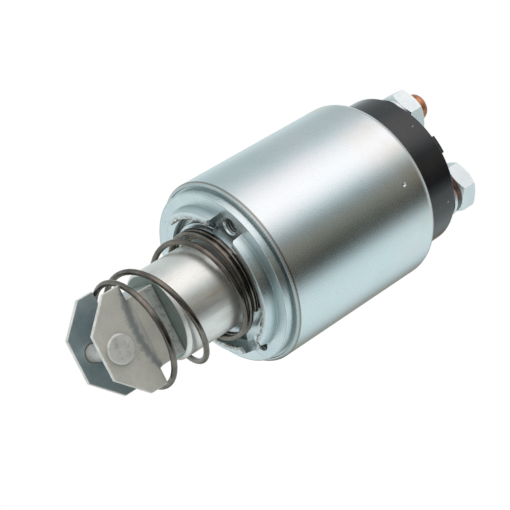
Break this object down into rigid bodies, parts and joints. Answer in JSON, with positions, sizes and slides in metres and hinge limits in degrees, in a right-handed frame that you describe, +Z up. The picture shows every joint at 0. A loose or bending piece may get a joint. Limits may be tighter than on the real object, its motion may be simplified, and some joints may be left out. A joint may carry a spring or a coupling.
{
  "type": "starter solenoid",
  "caption": "Starter solenoid: plated steel can, sliding plunger with joggled fork plates and cross pin, return spring, black cap with copper studs.",
  "frame": {"origin": "centre of the flat front face that bolts to the starter, on the solenoid's axis", "axes": "+X along the axis towards the terminals, so the plunger leaves towards -X; +Z up, with the two copper studs one above the other on the -Y side"},
  "size_m": [0.1547, 0.066, 0.066],
  "materials": {
    "can_zinc": "bright zinc plate, satin",
    "plate_zinc": "bright zinc plate over a machined face",
    "fork_steel": "zinc plated sheet, matt grey",
    "plunger_steel": "ground and plated, bright",
    "pin_steel": "zinc plated, satin",
    "spring_steel": "oil hardened, dark",
    "nut_zinc": "pale zinc plate",
    "cap_black": "phenolic moulding, glossy black",
    "copper": "bare copper, satin",
    "enamel_copper": "enamelled copper wire",
    "brass_sleeve": "drawn brass",
    "tinned_brass": "tinned brass",
    "core_iron": "machined iron",
    "rod_steel": "ground steel",
    "bobbin_plastic": "natural nylon",
    "wrap_paper": "impregnated wrap",
    "insulator": "brown phenolic",
    "rubber_black": "black rubber"
  },
  "bodies": {
    "housing": {"housing_can": "can_zinc", "front_plate": "plate_zinc", "guide_sleeve": "brass_sleeve", "coil_bobbin": "bobbin_plastic", "pull_in_winding": "enamel_copper", "hold_in_winding": "enamel_copper", "winding_wrap": "wrap_paper", "pole_core": "core_iron", "cap_gasket": "rubber_black", "terminal_cap": "cap_black", "battery_stud": "copper", "motor_stud": "copper", "stud_seals": "rubber_black", "terminal_washers": "nut_zinc", "terminal_nuts": "nut_zinc", "control_terminal": "tinned_brass", "control_rivet": "tinned_brass", "winding_leads": "enamel_copper", "lead_grommets": "rubber_black", "return_spring": "spring_steel"},
    "plunger": {"plunger": "plunger_steel", "fork_plate_near": "fork_steel", "fork_plate_far": "fork_steel", "link_pin": "pin_steel"},
    "contact": {"push_rod": "rod_steel", "contact_spring": "rod_steel", "bridge_bush": "insulator", "contact_bridge": "copper", "bridge_insulator": "insulator", "rod_clip": "rod_steel", "kick_back_spring": "rod_steel"}
  },
  "joints": [
    {"name": "plunger_slide", "type": "slide", "parent": "housing", "child": "plunger", "axis": [1, 0, 0], "range_m": [0, 0.011], "stiffness_N_per_m": 1530, "deforming": ["return_spring"]},
    {"name": "contact_slide", "type": "slide", "parent": "housing", "child": "contact", "axis": [1, 0, 0], "range_m": [0, 0.003], "deforming": ["kick_back_spring"]}
  ],
  "couplings": [
    {"joint": "contact_slide", "follows": "plunger_slide", "ratio": 0.27273}
  ]
}
